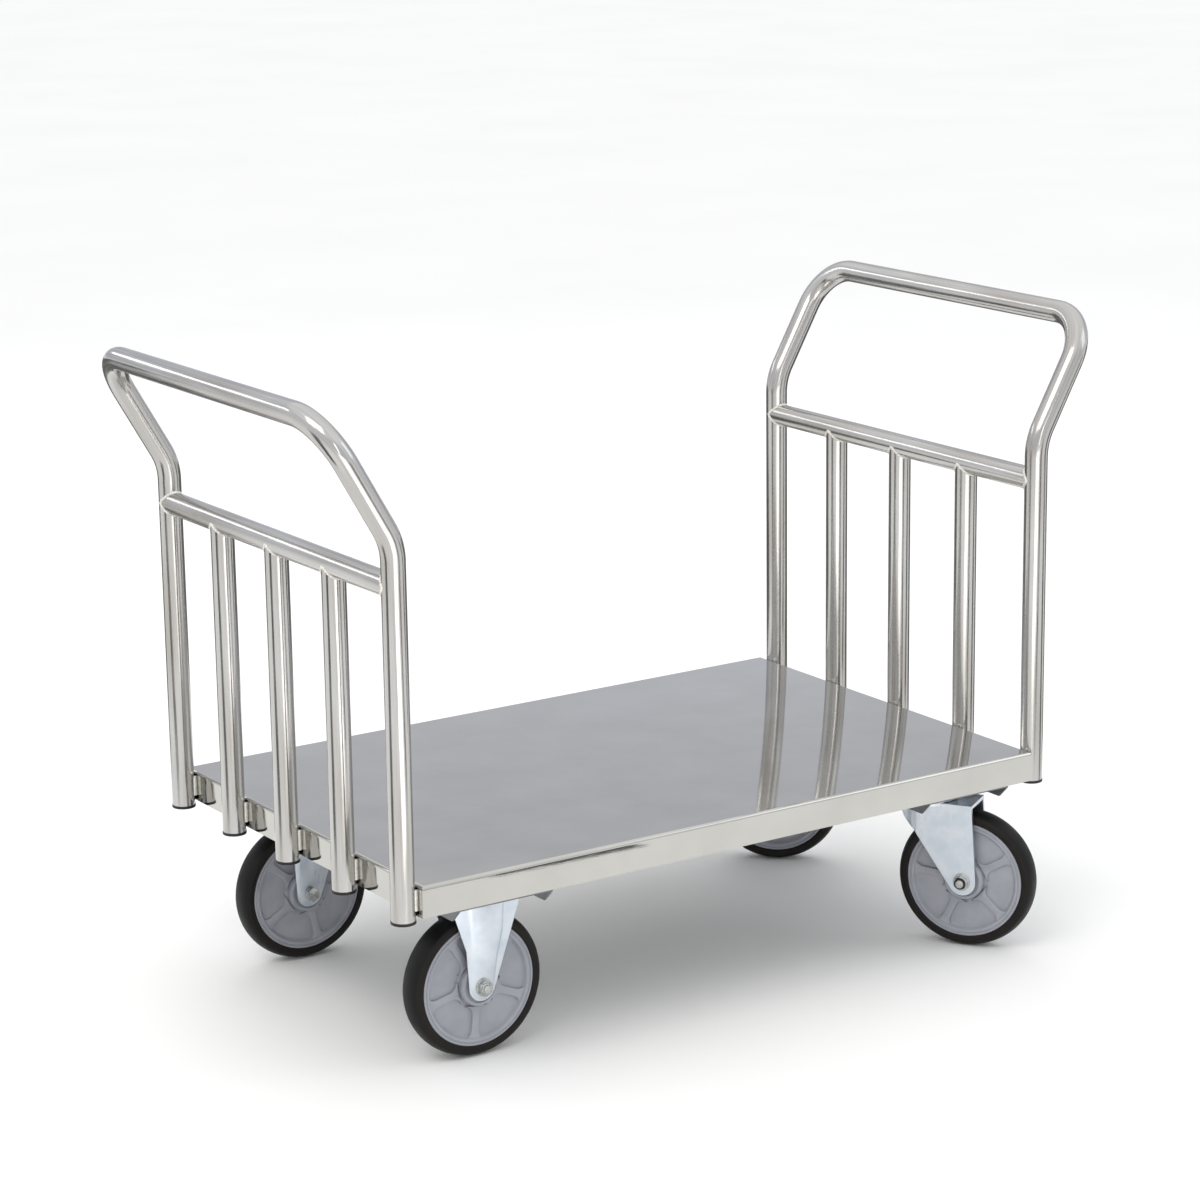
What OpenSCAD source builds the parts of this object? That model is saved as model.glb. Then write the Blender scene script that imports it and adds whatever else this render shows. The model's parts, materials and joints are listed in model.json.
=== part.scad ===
// Two-ended luggage cart: sheet-metal deck, two tubular end frames,
// two fixed casters at the -X end and two swivel casters at the +X end.
// X runs along the deck, Z is up, and the origin lies on the floor under the middle of the cart.

/* [Deck] */
// Length of the deck along X
deck_length = 1005; // [800:5:1400]
// Width of the deck along Y
deck_width = 650; // [560:10:900]
// Height of the folded rim, top face to bottom edge
rim_height = 42; // [30:1:60]
// Thickness of the deck sheet
sheet_t = 2; // [1:0.5:3]
// Outer radius of the fold along the edges
fold_r = 5; // [3:0.5:10]
// Width of the lip folded inwards under the rim
lip_w = 15; // [10:1:25]

/* [Under frame] */
// Distance from the deck middle line to each stiffener rail
rail_y = 110; // [70:5:120]
// Width of a stiffener rail
rail_w = 60; // [30:5:70]
// Thickness of the rail sheet
rail_t = 2; // [1.5:0.5:3]
// Gap from a rail's end to the inner face of the rim
rail_end_gap = 4; // [1:1:20]
// Height of a cross channel's flanges, web included
channel_h = 20; // [14:1:30]
// Thickness of the cross channel
channel_t = 3; // [2:0.5:4]
// Gap from a cross channel's end to the outer face of the rim
channel_end_gap = 3; // [0:1:20]
// Side clearance of a caster plate between the channel's flanges
plate_gap = 1; // [0.5:0.5:4]

/* [End frames] */
// Outside diameter of every frame tube
tube_d = 32; // [25:1:40]
// Wall of every frame tube
tube_wall = 1.5; // [1:0.5:3]
// Distance from the deck's side to the axis of an outer leg
leg_inset = 21; // [5:1:60]
// Gap between a tube and the deck's end face, filled by the weld
weld_gap = 0.3; // [0.1:0.1:1]
// Number of upright bars between the two legs
bar_count = 3; // [3:1:3]
// Distance that the tubes reach below the rim
tube_drop = 4; // [0:1:30]
// Height of the cross bar's axis above the deck
crossbar_rise = 389; // [250:1:500]
// Distance from the cross bar up to the outward bend
bend_rise = 55; // [45:1:90]
// Height of the handle's axis above the outward bend
handle_rise = 164; // [150:2:260]
// Distance that the handle leans out past the legs
handle_reach = 94; // [60:1:150]
// Radius of the two handle corners at the tube's axis
corner_r = 66; // [55:1:90]
// Radius of the outward bends at the tube's axis
bend_r = 85; // [55:1:110]
// Clearance where one tube is shaped to another
cope_gap = 0.1; // [0.05:0.05:0.3]
// Thickness of a tube plug's head
plug_head = 4; // [2:0.5:8]
// Length of a tube plug's stem
plug_stem = 18; // [10:1:30]
// Distance that a plug's head stands out past the tube
plug_lip = 0.6; // [0:0.1:1.5]

/* [Wheels] */
// Diameter of a wheel over its tread
wheel_d = 200; // [160:5:220]
// Width of the tyre
tyre_w = 38; // [34:1:44]
// Rounding height of the tread
tread_crown = 9; // [4:1:12]
// Radial thickness of the tyre
tyre_t = 16; // [12:1:22]
// Width of the wheel's hub
hub_w = 46; // [44:1:50]
// Diameter of the wheel's hub
hub_d = 58; // [44:1:70]
// Radial thickness of the ring that carries the tyre
core_ring = 11; // [8:1:16]
// Thickness of the wheel's web
web_t = 16; // [8:1:24]
// Width of a wheel rib
rib_w = 11; // [6:1:16]
// Diameter of the axle bolts
axle_d = 12; // [10:1:14]
// Outside diameter of the axle sleeve
sleeve_d = 20; // [17:1:22]
// Diameter of the bearing rollers
roller_d = 5; // [4:0.5:6]
// Running clearance of the rollers and the swivel pin
run_gap = 0.1; // [0.05:0.01:0.1]
// Gap from the hub to each fork leg
hub_gap = 2; // [1:0.5:4]

/* [Casters] */
// Distance from the deck's end to the fixed casters' axles
fixed_inset = 126; // [110:1:220]
// Distance from the deck's end to the swivel pins
swivel_inset = 112; // [100:1:200]
// Distance from the deck's side to the middle of a caster
caster_inset = 93; // [80:1:120]
// Height of a caster over its plate
caster_height = 235; // [229:1:250]
// Length of a caster plate along X
plate_l = 135; // [125:1:150]
// Width of a caster plate along Y
plate_w = 110; // [104:1:120]
// Thickness of a caster plate
plate_t = 4; // [3:0.5:5]
// Bolt hole spacing along X
hole_l = 105; // [95:1:110]
// Bolt hole spacing along Y
hole_w = 80; // [74:1:90]
// Diameter of the mounting bolts
bolt_d = 10; // [8:1:10]
// Clearance of a bolt in its hole
bolt_gap = 0.5; // [0.25:0.25:1]
// Thickness of the fork steel
fork_t = 5; // [3:0.5:6]
// Radius of the fork's end round the axle
fork_end_r = 20; // [16:1:24]
// Distance from the swivel pin to the axle
trail = 60; // [45:1:60]
// Swivel angle of the near caster
near_angle = 57; // [-180:1:180]
// Swivel angle of the far caster
far_angle = 42; // [-180:1:180]
// Diameter of the swivel bearing's balls
ball_d = 8; // [6:1:8]
// Number of balls in a swivel bearing
ball_count = 20; // [12:1:22]
// Diameter of the swivel bearing's ball circle
ball_circle = 66; // [56:1:68]
// Diameter of the swivel pin
pin_d = 14; // [12:1:16]

/* [Hidden] */
$fn = 96;
tiny = 0.01;
hair = 0.02;
over = 1;
arc_steps = 6;

// heights
wheel_r = wheel_d / 2;
channel_top = caster_height + channel_t;
rim_bottom = channel_top;
deck_top = rim_bottom + rim_height;
sheet_under = deck_top - sheet_t;
channel_bottom = channel_top - channel_h;
plate_under = caster_height - plate_t;
half_l = deck_length / 2;
half_w = deck_width / 2;
caster_y = half_w - caster_inset;
fixed_x = -half_l + fixed_inset;
swivel_x = half_l - swivel_inset;

// end frames
tube_r = tube_d / 2;
frame_x = half_l + weld_gap + tube_r;
leg_y = half_w - leg_inset;
tube_bottom = rim_bottom - tube_drop;
crossbar_z = deck_top + crossbar_rise;
bend_z = crossbar_z + bend_rise;
bar_pitch = 2 * leg_y / (bar_count + 1);
lean = atan2(handle_reach, handle_rise);
slope_l = sqrt(handle_reach * handle_reach + handle_rise * handle_rise);
bend_cut = bend_r * tan(lean / 2);

// wheels
tyre_bevel = 2;
tread_steps = 12;
core_r = wheel_r - tyre_t;
ring_in_r = core_r - core_ring;
hub_r = hub_d / 2;
core_w = tyre_w - tyre_bevel;
bore_r = sleeve_d / 2 + roller_d + 2 * run_gap;
roller_circle = sleeve_d / 2 + run_gap + roller_d / 2;
roller_count = 9;
roller_short = 4;
rib_count = 5;
rib_bite = 2;
rib_sink = 2;

// forks
fork_in = hub_w + 2 * hub_gap;
fork_out = fork_in + 2 * fork_t;
axle_hole_gap = 0.2;
leg_steps = 10;
fixed_back = 18;
fixed_waist = 0.4;
fixed_flare = 3;
swivel_nose = 2;
swivel_front_h = 16;
swivel_bend_h = 42;
swivel_bend_x = 13;
swivel_back_x = 13;
plan_steps = 12;

// swivel bearing
crown_drop = 17.5;
ball_sink = 2.5;
race_half = 9;
crown_top = plate_under - crown_drop;
crown_under = crown_top - fork_t;
race_bottom = crown_top + ball_d - 2 * ball_sink;
ball_z = (crown_top + race_bottom) / 2;
ball_seat = 0.05;
ball_clear = 0.3;
race_r = ball_circle / 2 + race_half;
race_in_r = ball_circle / 2 - race_half;
crown_r = ball_circle / 2 + race_half - swivel_nose;
dust_t = 1.2;
dust_gap = 0.05;
dust_drop = 2;
dust_rise = 6;

// fasteners
bolt_head_h = 6.4;
bolt_af = 17;
bolt_nut_h = 8;
bolt_tip = 3;
washer_t = 2;
axle_af = 19;
axle_head_h = 7.5;
axle_nut_h = 10;
axle_tip = 2;
thread_gap = 0.05;
pin_head_r = 11;
pin_head_h = 4;
pin_nut_af = 22;
pin_nut_h = 8;
web_hole_r = pin_head_r + 3;

// ---- shared shapes ----

// points of an arc, from angle a0 to a1
function arc(cx, cy, r, a0, a1, steps) =
    [for (i = [0:steps]) let (a = a0 + (a1 - a0) * i / steps) [cx + r * cos(a), cy + r * sin(a)]];

// hexagon from its width over the flats
module hexagon(af) {
    circle(d = af / cos(30), $fn = 6);
}

module ring(r_out, r_in, h) {
    linear_extrude(h)
        difference() {
            circle(r_out);
            circle(r_in);
        }
}

// cross section of a frame tube
module tube_section() {
    difference() {
        circle(tube_r);
        circle(tube_r - tube_wall);
    }
}

module tube(length) {
    linear_extrude(length) tube_section();
}

// a bent length of tube: starts at the origin along +Z and turns towards +X
module tube_bend(r, angle) {
    translate([r, 0, 0])
        rotate([90, 0, 0])
            rotate([0, 0, 180 - angle])
                rotate_extrude(angle = angle)
                    translate([r, 0]) tube_section();
}

// ---- deck and under frame ----

// folded edge profile: a block w wide from z0 up to z1 with rounded top corners
module folded_profile(w, z0, z1, r) {
    polygon(concat(
        [[-w / 2, z0], [w / 2, z0]],
        arc(w / 2 - r, z1 - r, r, 0, 90, arc_steps),
        arc(-w / 2 + r, z1 - r, r, 90, 180, arc_steps)));
}

// block with its four top edges rounded
module folded_block(l, w, z0, z1, r) {
    intersection() {
        rotate([90, 0, 90])
            translate([0, 0, -l])
                linear_extrude(2 * l) folded_profile(w, z0, z1, r);
        rotate([90, 0, 0])
            translate([0, 0, -w])
                linear_extrude(2 * w) folded_profile(l, z0, z1, r);
    }
}

module deck_tray() {
    color("gainsboro")
        difference() {
            folded_block(deck_length, deck_width, rim_bottom, deck_top, fold_r);
            folded_block(deck_length - 2 * sheet_t, deck_width - 2 * sheet_t,
                rim_bottom + sheet_t, sheet_under, fold_r - sheet_t);
            translate([-half_l + lip_w, -half_w + lip_w, rim_bottom - over])
                cube([deck_length - 2 * lip_w, deck_width - 2 * lip_w, sheet_t + 2 * over]);
        }
}

// upward open channel between the cross channels and the deck
module rail(side) {
    rail_l = deck_length - 2 * (sheet_t + rail_end_gap);
    rail_h = sheet_under - channel_top;
    lift = sheet_t;
    color("silver")
        translate([-rail_l / 2, side * rail_y - rail_w / 2, channel_top])
            difference() {
                cube([rail_l, rail_w, rail_h]);
                translate([-over, rail_t, lift])
                    cube([rail_l + 2 * over, rail_w - 2 * rail_t, rail_h]);
                // clear of the lip at each end of the deck
                for (x = [-over, rail_l - lip_w])
                    translate([x, -over, -over])
                        cube([lip_w + over, rail_w + 2 * over, lift + over]);
            }
}

// places its children at the four bolt holes of a caster
module at_holes() {
    for (x = [-1, 1], y = [-1, 1])
        translate([x * hole_l / 2, y * hole_w / 2, 0])
            children();
}

module cross_channel(x, pin_hole) {
    channel_w = plate_l + 2 * (plate_gap + channel_t);
    half_c = half_w - channel_end_gap;
    skirt = channel_h - channel_t;
    color("silver")
        translate([x, 0, 0])
            difference() {
                // web and flanges, with the flange ends cut at 45 degrees
                rotate([90, 0, 90])
                    translate([0, 0, -channel_w / 2])
                        linear_extrude(channel_w)
                            polygon([
                                [-half_c, channel_top], [half_c, channel_top],
                                [half_c, caster_height], [half_c - skirt, channel_bottom],
                                [-half_c + skirt, channel_bottom], [-half_c, caster_height]]);
                translate([-channel_w / 2 + channel_t, -half_c - over, channel_bottom - over])
                    cube([channel_w - 2 * channel_t, 2 * (half_c + over), skirt + over]);
                for (side = [-1, 1])
                    translate([0, side * caster_y, caster_height - over]) {
                        at_holes() cylinder(r = bolt_d / 2 + bolt_gap, h = channel_t + 2 * over);
                        if (pin_hole)
                            cylinder(r = web_hole_r, h = channel_t + 2 * over);
                    }
            }
}

// ---- end frames ----

// half of a hoop on the +Y side: leg, outward bend, slope and corner,
// each straight length ending a hair short of its bend
module half_hoop() {
    leg_l = bend_z - bend_cut - tube_bottom;
    straight = slope_l - bend_cut - corner_r;
    translate([frame_x, leg_y, 0]) {
        translate([0, 0, tube_bottom]) tube(leg_l - hair);
        translate([0, 0, bend_z - bend_cut]) tube_bend(bend_r, lean);
        translate([0, 0, bend_z])
            rotate([0, lean, 0]) {
                translate([0, 0, bend_cut + hair]) tube(straight - 2 * hair);
                translate([0, 0, bend_cut + straight])
                    rotate([0, 0, -90]) tube_bend(corner_r, 90);
            }
    }
}

// whole hoop at the +X end
module hoop() {
    top_half = leg_y - corner_r - hair;
    half_hoop();
    mirror([0, 1, 0]) half_hoop();
    translate([frame_x, 0, bend_z])
        rotate([0, lean, 0])
            translate([0, -top_half, slope_l])
                rotate([-90, 0, 0]) tube(2 * top_half);
}

// bar between the legs, shaped to the legs at both ends
module crossbar() {
    translate([frame_x, 0, crossbar_z])
        difference() {
            translate([0, -leg_y, 0])
                rotate([-90, 0, 0]) tube(2 * leg_y);
            for (side = [-1, 1])
                translate([0, side * leg_y, -tube_d])
                    cylinder(r = tube_r + cope_gap, h = 2 * tube_d);
        }
}

// upright bar, shaped to the cross bar at its top
module upright_bar(index) {
    translate([frame_x, index * bar_pitch, 0])
        difference() {
            translate([0, 0, tube_bottom]) tube(crossbar_z - tube_bottom);
            translate([0, tube_d, crossbar_z])
                rotate([90, 0, 0]) cylinder(r = tube_r + cope_gap, h = 2 * tube_d);
        }
}

module plugs() {
    for (i = [-2:2])
        translate([frame_x, (abs(i) == 2 ? sign(i) * leg_y : i * bar_pitch), tube_bottom]) {
            translate([0, 0, -plug_head]) cylinder(r = tube_r + plug_lip, h = plug_head);
            cylinder(r = tube_r - tube_wall - thread_gap, h = plug_stem);
        }
}

// the end frame at the -X end is the same one turned round
module left_end() {
    rotate([0, 0, 180]) children();
}

// ---- wheels, in a frame with the axle along Y through the origin ----

module around_axle() {
    rotate([90, 0, 0]) children();
}

// profile of the tyre: flat flanks and a rounded tread
module tyre() {
    color([0.08, 0.08, 0.08])
        around_axle()
            rotate_extrude()
                polygon(concat(
                    [[core_r, core_w / 2], [core_r, -core_w / 2]],
                    [[core_r + tyre_bevel, -tyre_w / 2]],
                    [for (i = [0:tread_steps]) let (t = 2 * i / tread_steps - 1)
                        [wheel_r - tread_crown * (1 - sqrt(max(0, 1 - t * t))), t * tyre_w / 2]],
                    [[core_r + tyre_bevel, tyre_w / 2]]));
}

module wheel_core() {
    color([0.55, 0.55, 0.57])
        around_axle() {
            translate([0, 0, -core_w / 2]) ring(core_r, ring_in_r, core_w);
            translate([0, 0, -web_t / 2]) ring(ring_in_r + tiny, bore_r, web_t);
            translate([0, 0, -hub_w / 2]) ring(hub_r, bore_r, hub_w);
            for (i = [0:rib_count - 1])
                rotate([0, 0, 90 + i * 360 / rib_count])
                    translate([hub_r - rib_bite, -rib_w / 2, -core_w / 2 + rib_sink])
                        cube([ring_in_r - hub_r + 2 * rib_bite, rib_w, core_w - 2 * rib_sink]);
        }
}

module rollers() {
    roller_l = hub_w - roller_short;
    color("lightgray")
        around_axle()
            for (i = [0:roller_count - 1])
                rotate([0, 0, i * 360 / roller_count])
                    translate([roller_circle, 0, -roller_l / 2])
                        cylinder(d = roller_d, h = roller_l, $fn = 24);
}

module sleeve() {
    color("silver")
        around_axle()
            translate([0, 0, -fork_in / 2])
                ring(sleeve_d / 2, axle_d / 2 + axle_hole_gap, fork_in);
}

// axle bolt with its head on the +Y side
module axle_bolt() {
    shank = fork_out + axle_nut_h + axle_tip;
    color("silver")
        rotate([90, 0, 0]) {
            translate([0, 0, -fork_out / 2 - axle_head_h]) linear_extrude(axle_head_h) hexagon(axle_af);
            translate([0, 0, -fork_out / 2]) cylinder(d = axle_d, h = shank);
        }
}

module axle_nut() {
    color("silver")
        rotate([90, 0, 0])
            translate([0, 0, fork_out / 2])
                linear_extrude(axle_nut_h)
                    difference() {
                        hexagon(axle_af);
                        circle(axle_d / 2 + thread_gap);
                    }
}

// ---- casters ----

// outline of a leg of the fixed fork, seen along Y from the axle
module fixed_leg_outline() {
    top = plate_under - wheel_r;
    polygon(concat(
        [[-plate_l / 2 + fixed_back, top], [-fork_end_r - fixed_flare, top * fixed_waist]],
        arc(0, 0, fork_end_r, 180, 335, leg_steps),
        [[plate_l / 2, top]]));
}

// fixed fork: a folded U with a top plate, axle at the origin
module fixed_fork() {
    top = plate_under - wheel_r;
    color("lightsteelblue")
        difference() {
            union() {
                translate([-plate_l / 2, -plate_w / 2, top]) cube([plate_l, plate_w, plate_t]);
                for (side = [-1, 1])
                    translate([0, side * (fork_in + fork_t) / 2 + fork_t / 2, 0])
                        rotate([90, 0, 0]) linear_extrude(fork_t) fixed_leg_outline();
            }
            translate([0, fork_out, 0])
                rotate([90, 0, 0]) cylinder(r = axle_d / 2 + axle_hole_gap, h = 2 * fork_out);
            translate([0, 0, top - over])
                at_holes() cylinder(r = bolt_d / 2 + bolt_gap, h = plate_t + 2 * over);
        }
}

// plate of a swivel caster with its upper ball race, pin axis on Z
module swivel_plate() {
    color("lightsteelblue")
        difference() {
            union() {
                translate([-plate_l / 2, -plate_w / 2, plate_under]) cube([plate_l, plate_w, plate_t]);
                translate([0, 0, race_bottom]) ring(race_r, race_in_r, plate_under - race_bottom + tiny);
            }
            translate([0, 0, ball_z])
                rotate_extrude() translate([ball_circle / 2, 0]) circle(ball_d / 2 + ball_seat, $fn = 32);
            translate([0, 0, plate_under - over])
                cylinder(r = pin_d / 2 + thread_gap, h = plate_t + 2 * over);
            translate([0, 0, plate_under - over])
                at_holes() cylinder(r = bolt_d / 2 + bolt_gap, h = plate_t + 2 * over);
        }
}

module dust_ring() {
    color("gray")
        translate([0, 0, race_bottom - dust_drop])
            ring(race_r + dust_gap + dust_t, race_r + dust_gap, dust_drop + dust_rise);
}

module balls() {
    color("silver")
        for (i = [0:ball_count - 1])
            rotate([0, 0, i * 360 / ball_count])
                translate([ball_circle / 2, 0, ball_z]) sphere(d = ball_d, $fn = 24);
}

// swivel pin: head over the plate, shank down through the fork's crown
module swivel_pin() {
    pin_bottom = crown_under - ball_clear - washer_t - pin_nut_h;
    color("silver") {
        translate([0, 0, pin_bottom]) cylinder(d = pin_d, h = caster_height - pin_bottom);
        translate([0, 0, caster_height]) cylinder(r = pin_head_r, h = pin_head_h);
    }
}

// washer and nut under the crown
module swivel_pin_nut() {
    color("silver") {
        translate([0, 0, crown_under - ball_clear - washer_t])
            ring(pin_d, pin_d / 2 + thread_gap, washer_t);
        translate([0, 0, crown_under - ball_clear - washer_t - pin_nut_h])
            linear_extrude(pin_nut_h)
                difference() {
                    hexagon(pin_nut_af);
                    circle(pin_d / 2 + thread_gap);
                }
    }
}

// side view of the swivel fork, axle at the origin and swivel pin at -trail
module swivel_leg_outline() {
    top = crown_top - wheel_r;
    front = trail + crown_r + swivel_nose;
    polygon(concat(
        [[-front, top], [-front, top - swivel_front_h], [-trail - swivel_bend_x, top - swivel_bend_h]],
        arc(0, 0, fork_end_r, 215, 360, leg_steps),
        [[swivel_back_x, top]]));
}

// plan of the swivel fork's legs: straight sides closed by a rounded front
module swivel_plan(half, r) {
    front = trail + crown_r - swivel_nose;
    back = fork_end_r + over;
    polygon(concat(
        [[back, -half], [back, half]],
        arc(-front + r, 0, r, 90, 270, plan_steps)));
}

module swivel_fork() {
    top = crown_top - wheel_r;
    height = top + fork_end_r + over;
    color("lightsteelblue")
        difference() {
            union() {
                // side walls and front, cut to the side view
                intersection() {
                    translate([0, 0, -fork_end_r - over])
                        linear_extrude(height)
                            difference() {
                                swivel_plan(fork_out / 2, fork_out / 2);
                                translate([fork_t, 0]) swivel_plan(fork_in / 2, fork_in / 2);
                            }
                    translate([0, fork_out, 0])
                        rotate([90, 0, 0]) linear_extrude(2 * fork_out) swivel_leg_outline();
                }
                // crown
                intersection() {
                    translate([0, 0, top - fork_t]) linear_extrude(fork_t) swivel_plan(fork_out / 2, fork_out / 2);
                    translate([0, fork_out, 0])
                        rotate([90, 0, 0]) linear_extrude(2 * fork_out) swivel_leg_outline();
                }
                translate([-trail, 0, top - fork_t]) cylinder(r = crown_r, h = fork_t);
            }
            translate([0, fork_out, 0])
                rotate([90, 0, 0]) cylinder(r = axle_d / 2 + axle_hole_gap, h = 2 * fork_out);
            translate([-trail, 0, top - fork_t - over])
                cylinder(r = pin_d / 2 + run_gap, h = fork_t + 2 * over);
            translate([-trail, 0, ball_z - wheel_r])
                rotate_extrude() translate([ball_circle / 2, 0]) circle(ball_d / 2 + ball_clear, $fn = 32);
        }
}

// four mounting bolts with washers and nuts, plate middle on Z
module mounting_bolts() {
    color("silver")
        at_holes() {
            translate([0, 0, channel_top]) linear_extrude(bolt_head_h) hexagon(bolt_af);
            translate([0, 0, plate_under - washer_t - bolt_nut_h - bolt_tip])
                cylinder(d = bolt_d, h = channel_top - plate_under + washer_t + bolt_nut_h + bolt_tip);
            translate([0, 0, plate_under - washer_t]) ring(bolt_d, bolt_d / 2 + thread_gap, washer_t);
            translate([0, 0, plate_under - washer_t - bolt_nut_h])
                linear_extrude(bolt_nut_h)
                    difference() {
                        hexagon(bolt_af);
                        circle(bolt_d / 2 + thread_gap);
                    }
        }
}

// ---- places ----

// near casters are at -Y, far ones at +Y; nuts face outwards on both sides
module at_fixed_axle(side) {
    translate([fixed_x, side * caster_y, wheel_r])
        mirror([0, (side > 0 ? 1 : 0), 0])
            children();
}

module at_fixed_plate(side) {
    translate([fixed_x, side * caster_y, 0]) children();
}

module at_pin(side) {
    translate([swivel_x, side * caster_y, 0]) children();
}

module at_swivel_axle(side) {
    at_pin(side)
        rotate([0, 0, side < 0 ? -near_angle : -far_angle])
            translate([trail, 0, wheel_r])
                mirror([0, (side > 0 ? 1 : 0), 0])
                    children();
}

near = -1;
far = 1;

deck_tray();
rail(near);  // rail_near
rail(far);  // rail_far
cross_channel(fixed_x, false);  // channel_fixed
cross_channel(swivel_x, true);  // channel_swivel
color("lightgray") left_end() hoop();  // left_hoop
color("lightgray") hoop();  // right_hoop
color("lightgray") left_end() crossbar();  // left_crossbar
color("lightgray") crossbar();  // right_crossbar
color("lightgray") left_end() upright_bar(1);  // left_bar_near
color("lightgray") left_end() upright_bar(0);  // left_bar_middle
color("lightgray") left_end() upright_bar(-1);  // left_bar_far
color("lightgray") upright_bar(-1);  // right_bar_near
color("lightgray") upright_bar(0);  // right_bar_middle
color("lightgray") upright_bar(1);  // right_bar_far
color("black") left_end() plugs();  // left_plugs
color("black") plugs();  // right_plugs
at_fixed_axle(near) fixed_fork();  // fixed_fork_near
at_fixed_axle(far) fixed_fork();  // fixed_fork_far
at_fixed_plate(near) mounting_bolts();  // fixed_bolts_near
at_fixed_plate(far) mounting_bolts();  // fixed_bolts_far
at_fixed_axle(near) axle_bolt();  // fixed_axle_near
at_fixed_axle(far) axle_bolt();  // fixed_axle_far
at_fixed_axle(near) axle_nut();  // fixed_nut_near
at_fixed_axle(far) axle_nut();  // fixed_nut_far
at_fixed_axle(near) sleeve();  // fixed_sleeve_near
at_fixed_axle(far) sleeve();  // fixed_sleeve_far
at_fixed_axle(near) rollers();  // fixed_rollers_near
at_fixed_axle(far) rollers();  // fixed_rollers_far
at_fixed_axle(near) wheel_core();  // fixed_core_near
at_fixed_axle(far) wheel_core();  // fixed_core_far
at_fixed_axle(near) tyre();  // fixed_tyre_near
at_fixed_axle(far) tyre();  // fixed_tyre_far
at_pin(near) swivel_plate();  // swivel_plate_near
at_pin(far) swivel_plate();  // swivel_plate_far
at_pin(near) mounting_bolts();  // swivel_bolts_near
at_pin(far) mounting_bolts();  // swivel_bolts_far
at_pin(near) dust_ring();  // swivel_dust_near
at_pin(far) dust_ring();  // swivel_dust_far
at_pin(near) balls();  // swivel_balls_near
at_pin(far) balls();  // swivel_balls_far
at_pin(near) swivel_pin();  // swivel_pin_near
at_pin(far) swivel_pin();  // swivel_pin_far
at_pin(near) swivel_pin_nut();  // swivel_pin_nut_near
at_pin(far) swivel_pin_nut();  // swivel_pin_nut_far
at_swivel_axle(near) swivel_fork();  // swivel_fork_near
at_swivel_axle(far) swivel_fork();  // swivel_fork_far
at_swivel_axle(near) axle_bolt();  // swivel_axle_near
at_swivel_axle(far) axle_bolt();  // swivel_axle_far
at_swivel_axle(near) axle_nut();  // swivel_nut_near
at_swivel_axle(far) axle_nut();  // swivel_nut_far
at_swivel_axle(near) sleeve();  // swivel_sleeve_near
at_swivel_axle(far) sleeve();  // swivel_sleeve_far
at_swivel_axle(near) rollers();  // swivel_rollers_near
at_swivel_axle(far) rollers();  // swivel_rollers_far
at_swivel_axle(near) wheel_core();  // swivel_core_near
at_swivel_axle(far) wheel_core();  // swivel_core_far
at_swivel_axle(near) tyre();  // swivel_tyre_near
at_swivel_axle(far) tyre();  // swivel_tyre_far
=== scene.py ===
import bpy
import bmesh
import json
import math
from mathutils import Matrix, Vector


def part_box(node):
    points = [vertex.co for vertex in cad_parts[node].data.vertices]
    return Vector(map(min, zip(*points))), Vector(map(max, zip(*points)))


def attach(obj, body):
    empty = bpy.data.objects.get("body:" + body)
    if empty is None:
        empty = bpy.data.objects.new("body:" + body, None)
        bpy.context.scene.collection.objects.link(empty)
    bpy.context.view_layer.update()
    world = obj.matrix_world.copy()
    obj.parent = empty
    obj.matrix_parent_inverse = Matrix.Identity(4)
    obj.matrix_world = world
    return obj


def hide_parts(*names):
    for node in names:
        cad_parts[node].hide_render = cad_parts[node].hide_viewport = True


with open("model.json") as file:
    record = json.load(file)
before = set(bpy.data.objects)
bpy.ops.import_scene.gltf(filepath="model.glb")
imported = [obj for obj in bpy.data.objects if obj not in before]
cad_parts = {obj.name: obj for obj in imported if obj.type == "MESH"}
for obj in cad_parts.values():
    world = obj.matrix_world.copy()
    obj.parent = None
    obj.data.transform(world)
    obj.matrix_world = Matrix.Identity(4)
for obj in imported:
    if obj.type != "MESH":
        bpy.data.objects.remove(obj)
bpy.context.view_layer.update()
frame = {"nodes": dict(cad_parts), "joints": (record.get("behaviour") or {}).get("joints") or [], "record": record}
nodes = frame["nodes"]
joints = {j["child"]: j for j in frame["joints"]}
sides = {"near": -1, "far": 1}


# helpers

def colour(text):
    # hex sRGB to the linear values the shaders want
    out = []
    for i in (1, 3, 5):
        c = int(text[i:i + 2], 16) / 255
        out.append(c / 12.92 if c <= 0.04045 else ((c + 0.055) / 1.055) ** 2.4)
    return (out[0], out[1], out[2], 1)


def addNode(tree, kind, settings=None, links=None):
    node = tree.nodes.new(kind)
    for key, value in (settings or {}).items():
        if isinstance(key, int) or key in node.inputs:
            node.inputs[key].default_value = value
        else:
            setattr(node, key, value)
    for key, source in (links or {}).items():
        tree.links.new(source, node.inputs[key])
    return node


def newMaterial(name):
    material = bpy.data.materials.new(name)
    material.use_nodes = True
    tree = material.node_tree
    return material, tree, tree.nodes["Principled BSDF"]


def ramp(tree, source, stops):
    node = addNode(tree, "ShaderNodeValToRGB", links={0: source})
    node.color_ramp.elements[0].position, node.color_ramp.elements[0].color = stops[0]
    node.color_ramp.elements[1].position, node.color_ramp.elements[1].color = stops[-1]
    for place, shade in stops[1:-1]:
        node.color_ramp.elements.new(place).color = shade
    return node.outputs["Color"]


def stretchedNoise(tree, coords, stretch, scale, detail=3.0):
    mapping = addNode(tree, "ShaderNodeMapping", {"Scale": stretch}, {"Vector": coords})
    noise = addNode(tree, "ShaderNodeTexNoise", {"Scale": scale, "Detail": detail},
                    {"Vector": mapping.outputs[0]})
    return noise.outputs["Fac"]


def rangeOf(tree, source, low, high, start=0.3, end=0.7):
    node = addNode(tree, "ShaderNodeMapRange",
                   {"From Min": start, "From Max": end, "To Min": low, "To Max": high},
                   {"Value": source})
    return node.outputs[0]


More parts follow.
